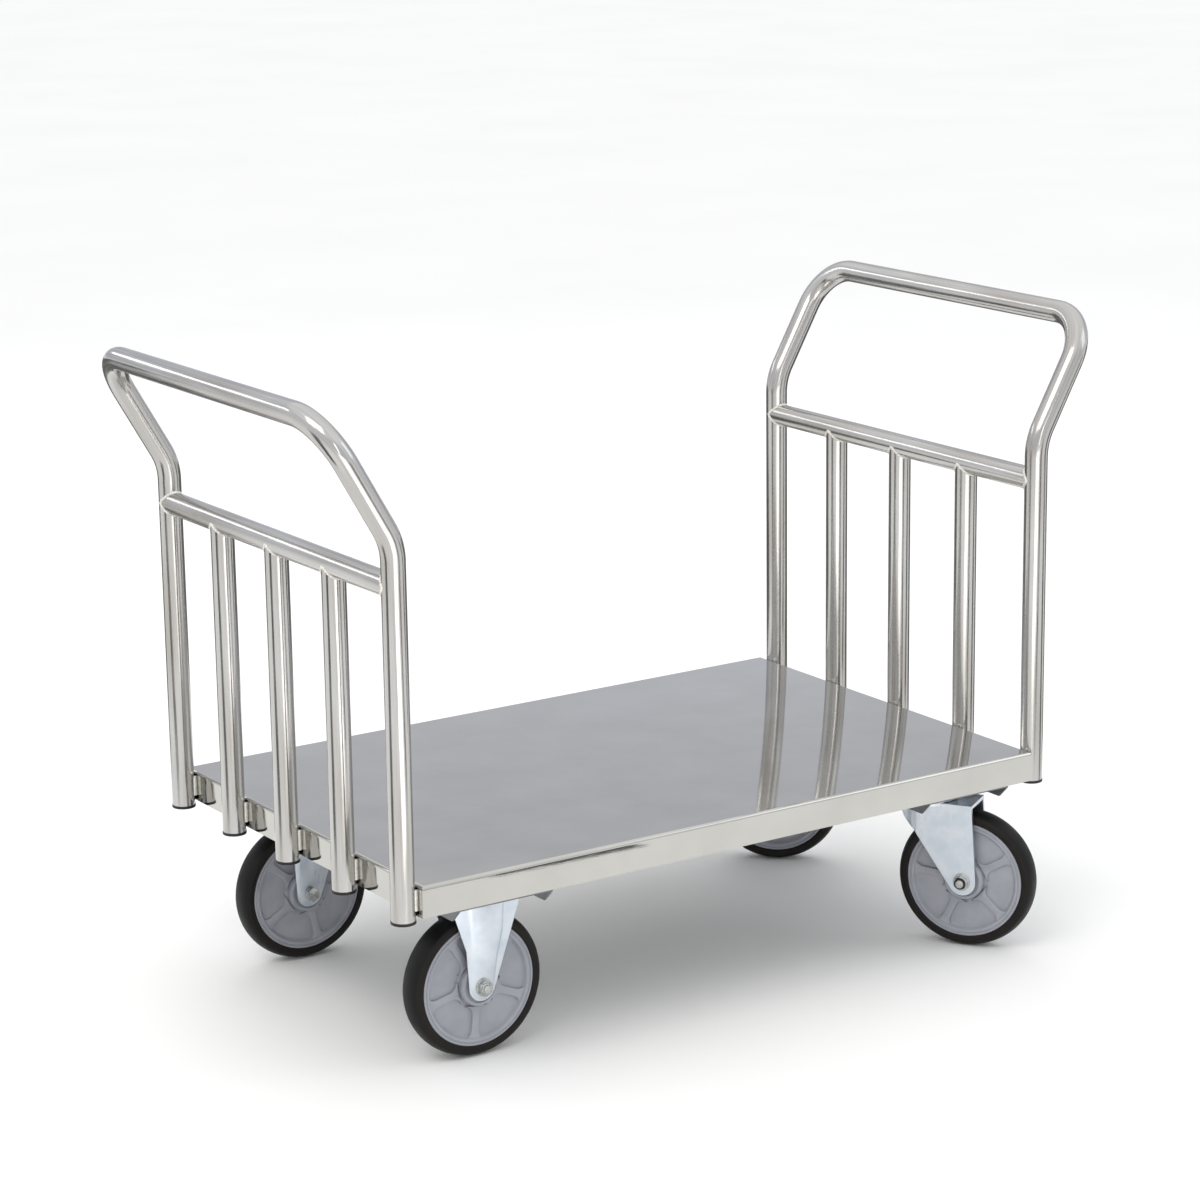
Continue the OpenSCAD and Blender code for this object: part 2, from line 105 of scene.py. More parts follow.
def toObject(bm, name, body, materials, replaced, angle=32):
    bmesh.ops.recalc_face_normals(bm, faces=bm.faces[:])
    mesh = bpy.data.meshes.new(name)
    bm.to_mesh(mesh)
    bm.free()
    for material in materials:
        mesh.materials.append(material)
    mesh.shade_smooth()
    mesh.set_sharp_from_angle(angle=math.radians(angle))
    piece = bpy.data.objects.new(name, mesh)
    bpy.context.scene.collection.objects.link(piece)
    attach(piece, body)
    if replaced:
        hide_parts(*replaced)
    return piece


def bevelEdges(bm, edges, size, segments=2):
    return bmesh.ops.bevel(bm, geom=list(edges), offset=size, segments=segments,
                           profile=0.5, affect="EDGES", material=-1)


def box(bm, low, high):
    made = bmesh.ops.create_cube(bm, size=1)["verts"]
    size = [high[i] - low[i] for i in range(3)]
    middle = Vector([(high[i] + low[i]) / 2 for i in range(3)])
    bmesh.ops.scale(bm, vec=size, verts=made)
    bmesh.ops.translate(bm, vec=middle, verts=made)
    return made


def disc(bm, radius, low, high, steps=48, bevel=0.0, matrix=Matrix.Identity(4)):
    made = bmesh.ops.create_cone(bm, cap_ends=True, segments=steps, radius1=radius,
                                 radius2=radius, depth=high - low)["verts"]
    bmesh.ops.translate(bm, vec=(0, 0, (high + low) / 2), verts=made)
    if bevel:
        caps = {e for v in made for e in v.link_edges
                if abs(e.verts[0].co.z - e.verts[1].co.z) < 1e-7}
        made = list({v for f in bevelEdges(bm, caps, bevel)["faces"] for v in f.verts}
                    | {v for v in made if v.is_valid})
    bmesh.ops.transform(bm, matrix=matrix, verts=made)
    return made


def lathe(bm, profile, steps=96, matrix=Matrix.Identity(4)):
    # profile is (radius, height) round Z
    verts = [bm.verts.new((r, 0, h)) for r, h in profile]
    edges = [bm.edges.new((a, b)) for a, b in zip(verts, verts[1:] + verts[:1])]
    before = set(bm.verts) - set(verts)
    bmesh.ops.spin(bm, geom=verts + edges, cent=(0, 0, 0), axis=(0, 0, 1),
                   angle=2 * math.pi, steps=steps, use_merge=True)
    made = [v for v in bm.verts if v not in before]
    bmesh.ops.transform(bm, matrix=matrix, verts=made)
    return made


def plate(bm, outline, low, high, matrix=Matrix.Identity(4), bevel=0.0, segments=2):
    # flat outline in X and Y, thickened from low to high along Z
    verts = [bm.verts.new((x, y, low)) for x, y in outline]
    face = bm.faces.new(verts)
    top = bmesh.ops.extrude_face_region(bm, geom=[face])["geom"]
    raised = [g for g in top if isinstance(g, bmesh.types.BMVert)]
    bmesh.ops.translate(bm, vec=(0, 0, high - low), verts=raised)
    made = verts + raised
    if bevel:
        rims = {e for v in made for e in v.link_edges
                if abs(e.verts[0].co.z - e.verts[1].co.z) < 1e-7}
        extra = bevelEdges(bm, rims, bevel, segments)["faces"]
        made = list({v for v in made if v.is_valid} | {v for f in extra for v in f.verts})
    bmesh.ops.transform(bm, matrix=matrix, verts=made)
    return made


def rounded(points, radii, steps=8):
    # centre line through points with its corners rounded
    line = [points[0]]
    for a, b, c, r in zip(points, points[1:], points[2:], radii):
        u = (a - b).normalized()
        v = (c - b).normalized()
        half = u.angle(v) / 2
        cut = r / math.tan(half)
        middle = b + (u + v).normalized() * (r / math.sin(half))
        start = b + u * cut - middle
        axis = u.cross(v).normalized()
        turn = math.pi - 2 * half
        for i in range(steps + 1):
            line.append(middle + Matrix.Rotation(-turn * i / steps, 3, axis) @ start)
    line.append(points[-1])
    return line


def sweep(bm, line, radius, around=32, space=None, shape=None):
    # tube along a line of points; space keeps each point's place on the unrolled tube
    normal = None
    rings = []
    along = 0.0
    for i, p in enumerate(line):
        ahead = (line[min(i + 1, len(line) - 1)] - line[max(i - 1, 0)]).normalized()
        if normal is None:
            guess = Vector((1, 0, 0)) if abs(ahead.x) < 0.9 else Vector((0, 1, 0))
            normal = (guess - ahead * guess.dot(ahead)).normalized()
        else:
            normal = (normal - ahead * normal.dot(ahead)).normalized()
            along += (p - line[i - 1]).length
        side = ahead.cross(normal)
        size = radius * (shape(i) if shape else 1)
        turned = Matrix((normal, side, ahead)).transposed().to_4x4()
        ring = bmesh.ops.create_circle(bm, segments=around, radius=size,
                                       matrix=Matrix.Translation(p) @ turned)["verts"]
        if space:
            for k, v in enumerate(ring):
                a = 2 * math.pi * k / around
                v[space] = (size * math.cos(a), size * math.sin(a), along)
        edges = list({e for v in ring for e in v.link_edges if e.other_vert(v) in ring})
        if rings:
            bmesh.ops.bridge_loops(bm, edges=rings[-1] + edges)
        rings.append(edges)
    for ends in (rings[0], rings[-1]):
        bmesh.ops.edgeloop_fill(bm, edges=[e for e in ends if e.is_valid])


# materials

def tubeSteelMaterial():
    # polished stainless tube, ground lengthwise: sharp long highlights broken by fine streaks
    material, tree, shader = newMaterial("stainless tube, longitudinally polished")
    place = addNode(tree, "ShaderNodeAttribute",
                    {"attribute_name": "tubeSpace"}).outputs["Vector"]
    streak = stretchedNoise(tree, place, (1, 1, 0.02), 420, 4)
    patch = stretchedNoise(tree, place, (1, 1, 0.12), 26, 2)
    tint = ramp(tree, patch, [(0.3, colour("#B3AFAA")), (0.55, colour("#C6C5C3")),
                              (0.75, colour("#B0B0B1"))])
    grain = addNode(tree, "ShaderNodeVectorMath", {"operation": "SCALE"},
                    {0: tint, "Scale": rangeOf(tree, streak, 0.86, 1.04)}).outputs[0]
    tree.links.new(grain, shader.inputs["Base Color"])
    shader.inputs["Metallic"].default_value = 1
    tree.links.new(rangeOf(tree, streak, 0.1, 0.26), shader.inputs["Roughness"])
    bump = addNode(tree, "ShaderNodeBump", {"Strength": 0.1, "Distance": 0.0003},
                   {"Height": streak})
    tree.links.new(bump.outputs[0], shader.inputs["Normal"])
    return material


def deckSteelMaterial():
    # cold rolled stainless sheet: soft mirror, faint grain and slow waves in the reflections
    material, tree, shader = newMaterial("stainless sheet, cold rolled")
    place = addNode(tree, "ShaderNodeTexCoord").outputs["Object"]
    grain = stretchedNoise(tree, place, (0.05, 1, 1), 900, 3)
    wave = stretchedNoise(tree, place, (1, 1.4, 1), 5.5, 1)
    haze = stretchedNoise(tree, place, (1, 1, 1), 11, 4)
    shader.inputs["Metallic"].default_value = 1
    tree.links.new(ramp(tree, haze, [(0.3, colour("#BFBEB9")), (0.7, colour("#C7C6C1"))]),
                   shader.inputs["Base Color"])
    tree.links.new(rangeOf(tree, grain, 0.03, 0.06), shader.inputs["Roughness"])
    slow = addNode(tree, "ShaderNodeBump", {"Strength": 0.2, "Distance": 0.0008}, {"Height": wave})
    fine = addNode(tree, "ShaderNodeBump", {"Strength": 0.05, "Distance": 0.0002},
                   {"Height": grain, "Normal": slow.outputs[0]})
    tree.links.new(fine.outputs[0], shader.inputs["Normal"])
    return material


def plainSteelMaterial():
    # hot rolled section with a dull skin: grey, hardly any reflection
    material, tree, shader = newMaterial("steel section, dull mill skin")
    place = addNode(tree, "ShaderNodeTexCoord").outputs["Object"]
    cloud = stretchedNoise(tree, place, (1, 1, 1), 24, 5)
    edge = addNode(tree, "ShaderNodeBevel", {"Radius": 0.0008, "samples": 6})
    shader.inputs["Metallic"].default_value = 1
    tree.links.new(ramp(tree, cloud, [(0.3, colour("#77797B")), (0.7, colour("#8F9092"))]),
                   shader.inputs["Base Color"])
    tree.links.new(rangeOf(tree, cloud, 0.42, 0.58), shader.inputs["Roughness"])
    tree.links.new(edge.outputs[0], shader.inputs["Normal"])
    return material


def zincMaterial():
    # pressed steel with blue passivated zinc: cool grey with cloudy patches
    material, tree, shader = newMaterial("pressed steel, blue zinc plate")
    place = addNode(tree, "ShaderNodeTexCoord").outputs["Object"]
    cloud = stretchedNoise(tree, place, (1, 1, 1), 42, 5)
    rub = stretchedNoise(tree, place, (1, 1, 0.15), 300, 3)
    edge = addNode(tree, "ShaderNodeBevel", {"Radius": 0.001, "samples": 6})
    shader.inputs["Metallic"].default_value = 1
    tree.links.new(ramp(tree, cloud, [(0.28, colour("#CBD4DE")), (0.6, colour("#DBE1E8")),
                                      (0.8, colour("#D2D7D9"))]), shader.inputs["Base Color"])
    tree.links.new(rangeOf(tree, rub, 0.27, 0.42), shader.inputs["Roughness"])
    bump = addNode(tree, "ShaderNodeBump", {"Strength": 0.08, "Distance": 0.0003},
                   {"Height": cloud, "Normal": edge.outputs[0]})
    tree.links.new(bump.outputs[0], shader.inputs["Normal"])
    return material


def fastenerMaterial():
    # turned and plated steel: small bright faces with worn edges
    material, tree, shader = newMaterial("turned steel, bright zinc plate")
    place = addNode(tree, "ShaderNodeTexCoord").outputs["Object"]
    spot = stretchedNoise(tree, place, (1, 1, 1), 160, 3)
    edge = addNode(tree, "ShaderNodeBevel", {"Radius": 0.0006, "samples": 6})
    shader.inputs["Metallic"].default_value = 1
    tree.links.new(ramp(tree, spot, [(0.3, colour("#A7A9A6")), (0.7, colour("#C8CACA"))]),
                   shader.inputs["Base Color"])
    tree.links.new(rangeOf(tree, spot, 0.22, 0.38), shader.inputs["Roughness"])
    tree.links.new(edge.outputs[0], shader.inputs["Normal"])
    return material


def weldMaterial():
    # gas shielded weld bead, wire brushed: brighter than the tube, with straw tinted edges
    material, tree, shader = newMaterial("weld bead, wire brushed")
    place = addNode(tree, "ShaderNodeTexCoord").outputs["Object"]
    spot = stretchedNoise(tree, place, (1, 1, 1), 320, 3)
    shader.inputs["Metallic"].default_value = 1
    tree.links.new(ramp(tree, spot, [(0.3, colour("#DDD7CC")), (0.6, colour("#F4F3F0"))]),
                   shader.inputs["Base Color"])
    tree.links.new(rangeOf(tree, spot, 0.42, 0.58), shader.inputs["Roughness"])
    return material


def rubberMaterial(name, dark, light, low, high):
    # moulded rubber: soft broad sheen that fades where dust has settled
    material, tree, shader = newMaterial(name)
    place = addNode(tree, "ShaderNodeTexCoord").outputs["Object"]
    dust = stretchedNoise(tree, place, (1, 1, 1), 38, 5)
    skin = stretchedNoise(tree, place, (1, 1, 1), 700, 2)
    tree.links.new(ramp(tree, dust, [(0.35, colour(dark)), (0.75, colour(light))]),
                   shader.inputs["Base Color"])
    tree.links.new(rangeOf(tree, dust, low, high), shader.inputs["Roughness"])
    bump = addNode(tree, "ShaderNodeBump", {"Strength": 0.12, "Distance": 0.0003},
                   {"Height": skin})
    tree.links.new(bump.outputs[0], shader.inputs["Normal"])
    shader.inputs["IOR"].default_value = 1.52
    shader.inputs["Specular IOR Level"].default_value = 0.22
    return material


def plasticMaterial(name, dark, light, low, high):
    # injection moulded plastic: even colour, slight flow clouds, satin sheen
    material, tree, shader = newMaterial(name)
    place = addNode(tree, "ShaderNodeTexCoord").outputs["Object"]
    cloud = stretchedNoise(tree, place, (1, 1, 1), 30, 4)
    skin = stretchedNoise(tree, place, (1, 1, 1), 1500, 2)
    tree.links.new(ramp(tree, cloud, [(0.35, colour(dark)), (0.7, colour(light))]),
                   shader.inputs["Base Color"])
    tree.links.new(rangeOf(tree, cloud, low, high), shader.inputs["Roughness"])
    bump = addNode(tree, "ShaderNodeBump", {"Strength": 0.06, "Distance": 0.0002},
                   {"Height": skin})
    tree.links.new(bump.outputs[0], shader.inputs["Normal"])
    shader.inputs["IOR"].default_value = 1.49
    return material


def floorMaterial():
    # chalky pale floor: almost even, with no sheen at all
    material, tree, shader = newMaterial("floor, pale matte paint")
    place = addNode(tree, "ShaderNodeTexCoord").outputs["Object"]
    cloud = stretchedNoise(tree, place, (1, 1, 1), 1.3, 3)
    tree.links.new(ramp(tree, cloud, [(0.3, colour("#F8F8F7")), (0.7, colour("#FBFBFA"))]),
                   shader.inputs["Base Color"])
    shader.inputs["Roughness"].default_value = 0.9
    shader.inputs["Specular IOR Level"].default_value = 0
    return material


tubeSteel = tubeSteelMaterial()
deckSteel = deckSteelMaterial()
plainSteel = plainSteelMaterial()
zinc = zincMaterial()
fastener = fastenerMaterial()
weld = weldMaterial()
tread = rubberMaterial("tyre rubber, moulded", "#070708", "#0F0F0F", 0.42, 0.6)
flank = rubberMaterial("tyre flank, dusty rubber", "#12100E", "#201B17", 0.5, 0.7)
coreGrey = plasticMaterial("grey polypropylene, moulded", "#989AA2", "#A3A5AC", 0.36, 0.5)
blackPlastic = plasticMaterial("black polyethylene, moulded", "#0B0B0C", "#141414", 0.4, 0.55)
print("materials done")


# deck

deckSet = {"fold": 0.005, "sheet": 0.002, "lip": 0.015}


def makeDeck():
    d = deckSet
    low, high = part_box("deck_tray")
    span = high - low
    bm = bmesh.new()
    box(bm, low, high)
    folds = [e for e in bm.edges if all(v.co.z > high.z - 1e-6 for v in e.verts)]
    bevelEdges(bm, folds, d["fold"], 6)
    # open underside: inset to the lip, up through the sheet, out to the rim's inner face,
    # up to the deck
    under = [f for f in bm.faces if f.normal.z < -0.9]
    bmesh.ops.inset_region(bm, faces=under, thickness=d["lip"], use_even_offset=True)
    face = under
    for rise, grow in ((d["sheet"], 0), (0, d["lip"] - d["sheet"]),
                       (span.z - 2 * d["sheet"], 0)):
        made = bmesh.ops.extrude_face_region(bm, geom=face)["geom"]
        bmesh.ops.delete(bm, geom=[f for f in face if f.is_valid], context="FACES")
        face = [g for g in made if isinstance(g, bmesh.types.BMFace)]
        for v in {v for f in face for v in f.verts}:
            v.co.z += rise
            v.co.x += math.copysign(grow, v.co.x)
            v.co.y += math.copysign(grow, v.co.y)
    toObject(bm, "deckSkin", "cart", [deckSteel], ["deck_tray"], 20)


makeDeck()
print("deck done")


# end frames

frameSet = {"around": 40, "bendRise": 0.055, "bendRadii": [0.085, 0.066, 0.066, 0.085],
            "bendSteps": 14, "crossShort": 0.004, "barShort": 0.003,
            "plugStep": 0.0006, "plugBevel": 0.0005}
weldSet = {"radius": 0.0042, "around": 12, "low": 0.246, "high": 0.274, "steps": 44,
           "inset": 0.003, "aside": 0.0085, "ends": 0.45,
           "ringRadius": 0.0024, "ringAround": 8, "ringSteps": 96}


def makeTube(name, node, line, radius):
    bm = bmesh.new()
    space = bm.verts.layers.float_vector.new("tubeSpace")
    sweep(bm, line, radius, frameSet["around"], space)
    toObject(bm, name, "cart", [tubeSteel], [node])


def beadSize(i):
    # ripples along a straight bead that tapers at both ends
    ripple = 0.86 + 0.14 * abs(math.sin(i * 0.72))
    return ripple * (weldSet["ends"] if i in (0, weldSet["steps"]) else 1)


def ringSize(i):
    return 0.78 + 0.22 * math.sin(i * 1.9)


def saddleRing(bm, centre, across, down, r):
    # bead round the joint of two tubes of one size
    w = weldSet
    line = []
    for i in range(w["ringSteps"] + 1):
        a = 2 * math.pi * i / w["ringSteps"]
        reach = r * math.sqrt(math.sin(a) ** 2 + 0.01)
        line.append(centre + Vector((r * math.cos(a), 0, 0)) + across * (r * math.sin(a))
                    + down * reach)
    sweep(bm, line, w["ringRadius"], w["ringAround"], shape=ringSize)


def makeEndFrame(end):
    s = frameSet
    w = weldSet
    sign = 1 if end == "right" else -1
    legLow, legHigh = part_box(end + "_hoop")
    barLow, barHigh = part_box(end + "_bar_middle")
    crossLow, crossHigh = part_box(end + "_crossbar")
    r = (barHigh.y - barLow.y) / 2
    x = (barLow.x + barHigh.x) / 2
    legY = legHigh.y - r
    foot = legLow.z
    crossZ = (crossLow.z + crossHigh.z) / 2
    topZ = legHigh.z - r
    topX = (legHigh.x if sign > 0 else legLow.x) - sign * r
    bendZ = crossZ + s["bendRise"]
    corner = Vector((topX, 0, topZ))
    points = [Vector((x, -legY, foot)), Vector((x, -legY, bendZ)), corner - Vector((0, legY, 0)),
              corner + Vector((0, legY, 0)), Vector((x, legY, bendZ)), Vector((x, legY, foot))]
    makeTube(end + "Hoop", end + "_hoop", rounded(points, s["bendRadii"], s["bendSteps"]), r)
    reach = legY - s["crossShort"]
    makeTube(end + "Crossbar", end + "_crossbar",
             [Vector((x, -reach, crossZ)), Vector((x, reach, crossZ))], r)
    barYs = []
    for place in ("near", "middle", "far"):
        node = f"{end}_bar_{place}"
        low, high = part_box(node)
        y = (low.y + high.y) / 2
        barYs.append(y)
        makeTube(f"{end}Bar{place.capitalize()}", node,
                 [Vector((x, y, foot)), Vector((x, y, crossZ - s["barShort"]))], r)

    # welds: one bead each side of every tube on the rim, and a ring at every tube joint
    bm = bmesh.new()
    allYs = [-legY] + barYs + [legY]
    rise = w["high"] - w["low"]
    for y in allYs:
        for side in (-1, 1):
            line = [Vector((x - sign * (r - w["inset"]), y + side * w["aside"],
                            w["low"] + rise * i / w["steps"])) for i in range(w["steps"] + 1)]
            sweep(bm, line, w["radius"], w["around"], shape=beadSize)
    for y in barYs:
        saddleRing(bm, Vector((x, y, crossZ)), Vector((0, 1, 0)), Vector((0, 0, -1)), r)
    for side in (-1, 1):
        saddleRing(bm, Vector((x, side * legY, crossZ)), Vector((0, 0, 1)),
                   Vector((0, -side, 0)), r)
    toObject(bm, end + "Welds", "cart", [weld], [])

    # plugs in the feet
    low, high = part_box(end + "_plugs")
    bm = bmesh.new()
    for y in allYs:
        disc(bm, r + s["plugStep"], low.z, foot, 40, s["plugBevel"],
             Matrix.Translation((x, y, 0)))
    toObject(bm, end + "Plugs", "cart", [blackPlastic], [end + "_plugs"])


for end in ("left", "right"):
    makeEndFrame(end)
print("end frames done")


# wheels, built with the axle along Z and the outer face towards +Z

def axleMatrix(child, side):
    # Z along the axle to the outside of the cart, Y up
    joint = joints[child]
    out = Vector(joint["axis"]).normalized() * sides[side]
    up = Vector((0, 0, 1))
    turned = Matrix((up.cross(out), up, out)).transposed().to_4x4()
    return Matrix.Translation(Vector(joint["pos_m"])) @ turned


wheelSet = {"radius": 0.1, "seat": 0.084, "halfTyre": 0.019, "halfCore": 0.018, "crown": 0.009,
            "hub": 0.029, "halfHub": 0.023, "bore": 0.0153, "halfWeb": 0.0115, "halfRib": 0.0155,
            "rib": 0.0052, "flare": 0.012, "ribOuter": 0.0752, "seatGap": 0.0002,
            "flankRise": 0.0022}


def makeTyre(kind, side, matrix):
    s = wheelSet
    bm = bmesh.new()
    foot = s["seat"] + s["seatGap"]
    shoulder = s["seat"] + s["flankRise"]
    profile = [(foot, s["halfCore"]), (shoulder, s["halfTyre"])]
    for i in range(21):
        t = 1 - i / 10
        drop = s["crown"] * (1 - math.sqrt(max(0, 1 - t * t)))
        profile.append((s["radius"] - drop, t * s["halfTyre"]))
    profile += [(shoulder, -s["halfTyre"]), (foot, -s["halfCore"])]
    lathe(bm, profile, 144)
    for f in bm.faces:
        middle = f.calc_center_median()
        if math.hypot(middle.x, middle.y) < s["radius"] - s["crown"] + s["flankRise"]:
            f.material_index = 1
    bmesh.ops.transform(bm, matrix=matrix, verts=bm.verts[:])
    toObject(bm, f"{kind}Tyre{side.capitalize()}", f"{kind}_wheel_{side}",
             [tread, flank], [f"{kind}_tyre_{side}"], 24)


def ribOutline():
    # rib along +X that flares into the hub and into the rim
    s = wheelSet
    inner, outer, half, flare = s["hub"] - 0.002, s["ribOuter"], s["rib"], s["flare"]
    upper = []
    for i in range(7):
        a = math.pi / 2 * i / 6
        upper.append((inner + 0.003 + flare * (1 - math.cos(a)),
                      half + flare * (1 - math.sin(a))))
    for i in range(7):
        a = math.pi / 2 * i / 6
        upper.append((outer - flare * (1 - math.sin(a)),
                      half + flare * (1 - math.cos(a))))
    return upper + [(x, -y) for x, y in reversed(upper)]


def makeCore(kind, side, matrix, turn):
    s = wheelSet
    bm = bmesh.new()
    w = s["halfCore"]
    # one half of the section: seat and rim with its groove, web, hub, bearing cup
    half = [(s["seat"], w - 0.0008), (s["seat"] - 0.0008, w), (0.0812, w), (0.0806, w - 0.0012),
            (0.0792, w - 0.0012), (0.0786, w - 0.0002), (0.0756, w - 0.0006), (0.0742, w - 0.0022),
            (0.0728, s["halfWeb"] + 0.0012), (0.0712, s["halfWeb"]), (s["hub"] + 0.002, s["halfWeb"]),
            (s["hub"], s["halfWeb"] + 0.0015), (s["hub"] - 0.0006, s["halfHub"] - 0.002),
            (s["hub"] - 0.002, s["halfHub"]), (0.0235, s["halfHub"]), (0.0228, s["halfHub"] - 0.002),
            (0.0168, s["halfHub"] - 0.002), (s["bore"], s["halfHub"] - 0.0006)]
    lathe(bm, half + [(r, -h) for r, h in reversed(half)], 120)
    outline = ribOutline()
    for i in range(5):
        spin = Matrix.Rotation(math.radians(turn + 72 * i), 4, "Z")
        plate(bm, outline, -s["halfRib"], s["halfRib"], spin, 0.0009)
    bmesh.ops.transform(bm, matrix=matrix, verts=bm.verts[:])
    toObject(bm, f"{kind}Core{side.capitalize()}", f"{kind}_wheel_{side}",
             [coreGrey], [f"{kind}_core_{side}"], 28)


ribTurns = {"fixednear": 49, "fixedfar": 40, "swivelnear": 30, "swivelfar": 10}
for kind in ("fixed", "swivel"):
    for side in sides:
        matrix = axleMatrix(f"{kind}_wheel_{side}", side)
        makeTyre(kind, side, matrix)
        makeCore(kind, side, matrix, ribTurns[kind + side])
print("wheels done")


# axle bolts and nuts

axleSet = {"halfOut": 0.030, "flats": 0.019, "head": 0.0075, "nut": 0.010, "shank": 0.006,
           "tip": 0.0018, "collar": 0.0125, "collarHigh": 0.0016, "hexLow": 0.0012,
           "hexHigh": 0.0074, "bevel": 0.0011}


def hexagonPrism(bm, flats, low, high):
    made = bmesh.ops.create_cone(bm, cap_ends=True, segments=6, radius1=flats / math.sqrt(3),
                                 radius2=flats / math.sqrt(3), depth=high - low)["verts"]
    bmesh.ops.translate(bm, vec=(0, 0, (low + high) / 2), verts=made)
    rims = {e for v in made for e in v.link_edges
            if abs(e.verts[0].co.z - e.verts[1].co.z) < 1e-7}
    bevelEdges(bm, rims, axleSet["bevel"], 2)


def makeAxle(kind, side, matrix):
    s = axleSet
    face = s["halfOut"]
    body = "cart" if kind == "fixed" else f"swivel_{side}"
    bm = bmesh.new()
    disc(bm, s["shank"], -face, face + s["nut"] + s["tip"], 32, 0.0008)
    hexagonPrism(bm, s["flats"], -face - s["head"], -face)
    bmesh.ops.transform(bm, matrix=matrix, verts=bm.verts[:])
    toObject(bm, f"{kind}Axle{side.capitalize()}", body, [fastener],
             [f"{kind}_axle_{side}"])
    bm = bmesh.new()
    disc(bm, s["collar"], face, face + s["collarHigh"], 40, 0.0004)
    hexagonPrism(bm, s["flats"], face + s["hexLow"], face + s["hexHigh"])
    steel = set(bm.faces)
    lathe(bm, [(0.0086, face + 0.007), (0.0084, face + 0.0092), (0.0076, face + 0.010),
               (0.0062, face + 0.010), (0.0062, face + 0.007)], 40)
    for f in bm.faces:
        # dark locking ring
        f.material_index = 1 if kind == "swivel" and f not in steel else 0
    bmesh.ops.transform(bm, matrix=matrix, verts=bm.verts[:])
    toObject(bm, f"{kind}Nut{side.capitalize()}", body, [fastener, blackPlastic],
             [f"{kind}_nut_{side}"])


for kind in ("fixed", "swivel"):
    for side in sides:
        makeAxle(kind, side, axleMatrix(f"{kind}_wheel_{side}", side))
print("axles done")


# fixed forks

fixedSet = {"inner": 0.025, "sheet": 0.0022, "outer": 0.030, "endRadius": 0.020,
            "ribLow": -0.0205, "ribHigh": 0.032, "slope": 0.005, "panelRadius": 0.0165,
            "plate": 0.004, "corner": 0.008}


def arc(radius, first, last, step):
    return [(radius * math.cos(math.radians(a)), radius * math.sin(math.radians(a)))
            for a in range(first, last, step)]


def raisedPanel(bm, outline, face, low, high, slope):
    # pressed out panel: a low wall, then a sloped shoulder round a flat top
    verts = [bm.verts.new((x, y, face * (low - 0.001))) for x, y in outline]
    base = bm.faces.new(verts)
    top = bmesh.ops.extrude_face_region(bm, geom=[base])["geom"]
    raised = [g for g in top if isinstance(g, bmesh.types.BMVert)]
    bmesh.ops.translate(bm, vec=(0, 0, face * 0.0012), verts=raised)
    cap = [g for g in top if isinstance(g, bmesh.types.BMFace)]
    for f in cap:
        f.normal_update()
        if f.normal.z * face < 0:
            f.normal_flip()
    bmesh.ops.inset_region(bm, faces=cap, thickness=slope, use_even_offset=True)
    bmesh.ops.translate(bm, vec=(0, 0, face * (high - low - 0.0002)), verts=list(cap[0].verts))


def makeFixedFork(side):
    s = fixedSet
    low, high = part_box("fixed_fork_" + side)
    matrix = axleMatrix("fixed_wheel_" + side, side)
    centre = matrix.translation
    top = high.z - s["plate"] - centre.z
    half = (high.x - low.x) / 2
    # outlines in X (along the cart) and Y (up); the far side is turned round, so X flips there
    flip = -sides[side]
    end = arc(s["endRadius"], 180, 340, 12)
    outline = [(-half + 0.018, top), (-0.023, top * 0.4)] + end + [(half, top)]
    panel = [(s["ribLow"], top), (s["ribLow"], 0.004)]
    panel += arc(s["panelRadius"], 190, 341, 15)
    panel += [(s["ribHigh"] - 0.008, 0.040), (s["ribHigh"], 0.070), (s["ribHigh"] + 0.004, top)]
    bm = bmesh.new()
    for face in (-1, 1):
        inner, outer = s["inner"], s["inner"] + s["sheet"]
        lowZ, highZ = (inner, outer) if face > 0 else (-outer, -inner)
        plate(bm, [(flip * x, y) for x, y in outline], lowZ, highZ, bevel=0.0008)
        raisedPanel(bm, [(flip * x, y) for x, y in panel], face, outer, s["outer"],
                    s["slope"])
    # top plate with rounded corners
    y0, y1 = low.y - centre.y, high.y - centre.y
    plateBm = bmesh.new()
    box(plateBm, (-half, y0, top), (half, y1, top + s["plate"]))
    posts = [e for e in plateBm.edges if abs(e.verts[0].co.z - e.verts[1].co.z) > 0.001]
    bevelEdges(plateBm, posts, s["corner"], 4)
    bmesh.ops.translate(plateBm, vec=centre, verts=plateBm.verts[:])
    bmesh.ops.transform(bm, matrix=matrix, verts=bm.verts[:])
    spare = bpy.data.meshes.new("spare")
    plateBm.to_mesh(spare)
    plateBm.free()
    bm.from_mesh(spare)
    bpy.data.meshes.remove(spare)
    toObject(bm, f"fixedFork{side.capitalize()}", "cart", [zinc],
             ["fixed_fork_" + side], 30)


for side in sides:
    makeFixedFork(side)
print("fixed forks done")


# the parts that are shown as they come

plain = {"frame_steel": plainSteel, "zinc_steel": zinc, "fasteners": fastener,
         "tube_steel": tubeSteel, "deck_steel": deckSteel, "black_plastic": blackPlastic,
         "tyre": tread, "grey_core": coreGrey}
for entry in frame["record"]["subparts"]:
    shown = nodes[entry["node"]]
    shown.data.materials.clear()
    shown.data.materials.append(plain[entry["material_slot"]])
print("plain parts done")


# floor, light and camera

# headings of the reflection boards, clockwise from +Y, and the ring of floor they lie on
cardSet = {"near": 1.35, "far": 9.0, "height": 0.004, "steps": 14, "glow": 2.2,
           "dark": [(-31, 97), (114, 128), (160, 171), (262, 280)], "bright": [(184, 210)]}


def makeStage():
    bm = bmesh.new()
    bmesh.ops.create_grid(bm, x_segments=1, y_segments=1, size=40)
    mesh = bpy.data.meshes.new("floor")
    bm.to_mesh(mesh)
    bm.free()
    mesh.materials.append(floorMaterial())
    floor = bpy.data.objects.new("floor", mesh)
    bpy.context.scene.collection.objects.link(floor)


